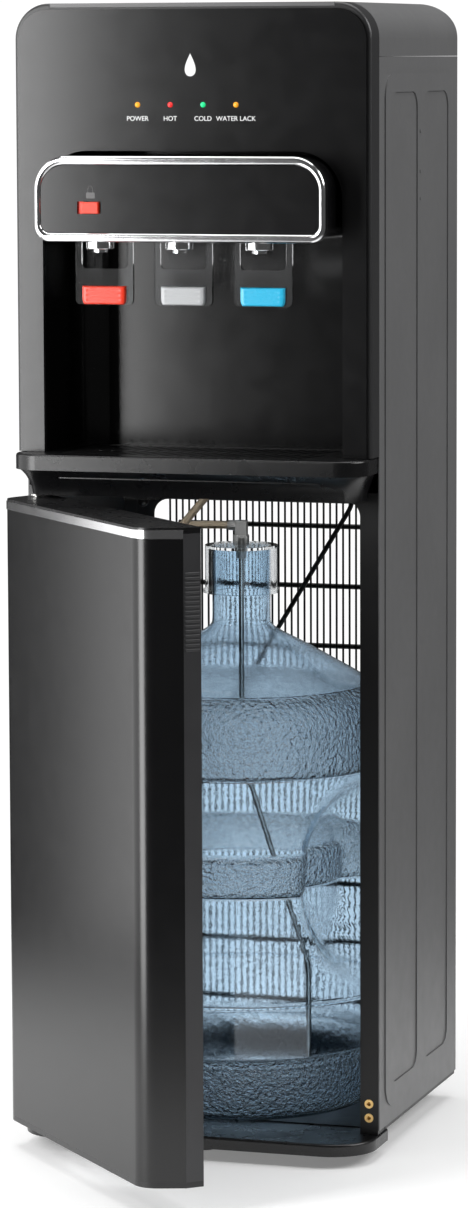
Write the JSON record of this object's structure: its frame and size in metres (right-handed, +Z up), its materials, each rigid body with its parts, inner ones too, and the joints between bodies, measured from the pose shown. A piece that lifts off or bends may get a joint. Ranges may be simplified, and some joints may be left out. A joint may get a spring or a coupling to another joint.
{
  "type": "bottom-loading water dispenser",
  "caption": "Floor-standing water dispenser with three push-lever taps, drip tray, swing door over a bottle bay, and rear wire condenser.",
  "frame": {"origin": "on the floor, on the cabinet's middle plane, below the front edge of the side panels: the underside of the central rest pad", "axes": "+Z up, -Y towards the user, +X to the user's right"},
  "size_m": [0.3324, 0.5363, 1.017],
  "materials": {
    "grey_steel": "satin powder coat",
    "gloss_black": "high gloss",
    "black_plastic": "satin",
    "grey_plastic": "fine satin",
    "zinc_steel": "bare sheet",
    "chrome": "bright plated",
    "steel": "drawn",
    "brass": "turned",
    "bottle_blue": "clear moulded",
    "clear_plastic": "clear moulded",
    "silicone": "translucent tan",
    "red_plastic": "gloss",
    "pad_grey": "gloss",
    "cyan_plastic": "gloss",
    "lens": "clear coloured",
    "foam": "expanded foam",
    "board": "varnished board",
    "black_steel": "black enamel",
    "copper_brown": "lacquered copper"
  },
  "bodies": {
    "cabinet": {"base_plinth": "black_plastic", "levelling_feet": "black_plastic", "base_pan": "zinc_steel", "lower_frame": "grey_plastic", "side_panel_left": "grey_steel", "side_panel_right": "grey_steel", "rear_panel": "zinc_steel", "inner_decks": "zinc_steel", "top_cover": "grey_plastic", "front_frame": "grey_plastic", "front_fascia": "gloss_black", "niche_liner": "gloss_black", "drip_shelf": "black_plastic", "tap_housing": "gloss_black", "chrome_bezel": "chrome", "pod_face": "gloss_black", "tap_nozzles": "chrome", "tap_valves": "grey_plastic", "lever_hinges": "steel", "indicator_lenses": "lens", "circuit_boards": "board", "hinge_pins": "steel", "brass_inserts": "brass", "feed_hose": "silicone", "deck_fitting": "black_plastic", "door_switch": "black_plastic", "condenser_tube": "black_steel", "condenser_wires": "black_steel", "riser_pipe": "black_steel", "compressor": "black_steel", "hot_tank": "steel", "hot_tank_jacket": "foam", "cold_tank": "steel", "cold_tank_foam": "foam", "water_pump": "black_plastic", "water_hoses": "silicone", "power_inlet": "black_plastic", "switch_bodies": "black_plastic", "drain_spout": "black_plastic"},
    "door": {"door_shell": "gloss_black", "door_liner": "grey_plastic", "door_end_caps": "black_plastic", "door_strip": "chrome"},
    "hot_lever": {"lever_hot": "chrome", "pad_hot": "red_plastic"},
    "ambient_lever": {"lever_ambient": "chrome", "pad_ambient": "pad_grey"},
    "cold_lever": {"lever_cold": "chrome", "pad_cold": "cyan_plastic"},
    "lock_slide": {"child_lock": "red_plastic"},
    "tray": {"drip_tray": "black_plastic"},
    "grille": {"drip_grille": "black_plastic"},
    "bottle": {"water_bottle": "bottle_blue", "probe_collar": "clear_plastic", "probe_fitting": "copper_brown", "suction_tube": "steel"},
    "power_rocker": {"rocker_power": "black_plastic"},
    "hot_rocker": {"rocker_hot": "red_plastic"},
    "cold_rocker": {"rocker_cold": "cyan_plastic"},
    "cap": {"drain_cap": "black_plastic"}
  },
  "joints": [
    {"name": "door_hinge", "type": "hinge", "parent": "cabinet", "child": "door", "pos_m": [-0.147, -0.019, 0.3], "axis": [0, 0, -1], "range_deg": [-47.5, 62]},
    {"name": "hot_lever_hinge", "type": "hinge", "parent": "cabinet", "child": "hot_lever", "pos_m": [-0.0749, -0.036, 0.829], "axis": [1, 0, 0], "range_deg": [0, 12], "stiffness_Nm_per_rad": 0.35, "springref_deg": -11.46},
    {"name": "ambient_lever_hinge", "type": "hinge", "parent": "cabinet", "child": "ambient_lever", "pos_m": [-0.0025, -0.036, 0.829], "axis": [1, 0, 0], "range_deg": [0, 12], "stiffness_Nm_per_rad": 0.35, "springref_deg": -11.46},
    {"name": "cold_lever_hinge", "type": "hinge", "parent": "cabinet", "child": "cold_lever", "pos_m": [0.0699, -0.036, 0.829], "axis": [1, 0, 0], "range_deg": [0, 12], "stiffness_Nm_per_rad": 0.35, "springref_deg": -11.46},
    {"name": "child_lock_slide", "type": "slide", "parent": "cabinet", "child": "lock_slide", "axis": [-1, 0, 0], "range_m": [0, 0.004]},
    {"name": "tray_lift", "type": "slide", "parent": "cabinet", "child": "tray", "axis": [0, 0, 1], "range_m": [0, 0.1]},
    {"name": "grille_lift", "type": "slide", "parent": "tray", "child": "grille", "axis": [0, 0, 1], "range_m": [0, 0.03]},
    {"name": "bottle_slide", "type": "slide", "parent": "cabinet", "child": "bottle", "axis": [0, -1, 0], "range_m": [0, 0.07], "deforming": ["feed_hose"]},
    {"name": "power_rocker_hinge", "type": "hinge", "parent": "cabinet", "child": "power_rocker", "pos_m": [-0.1, 0.261, 0.92], "axis": [1, 0, 0], "range_deg": [-14, 0]},
    {"name": "hot_rocker_hinge", "type": "hinge", "parent": "cabinet", "child": "hot_rocker", "pos_m": [-0.07, 0.261, 0.92], "axis": [1, 0, 0], "range_deg": [-14, 0]},
    {"name": "cold_rocker_hinge", "type": "hinge", "parent": "cabinet", "child": "cold_rocker", "pos_m": [-0.04, 0.261, 0.92], "axis": [1, 0, 0], "range_deg": [-14, 0]},
    {"name": "drain_cap_pull", "type": "slide", "parent": "cabinet", "child": "cap", "axis": [0, 1, 0], "range_m": [0, 0.03]}
  ]
}
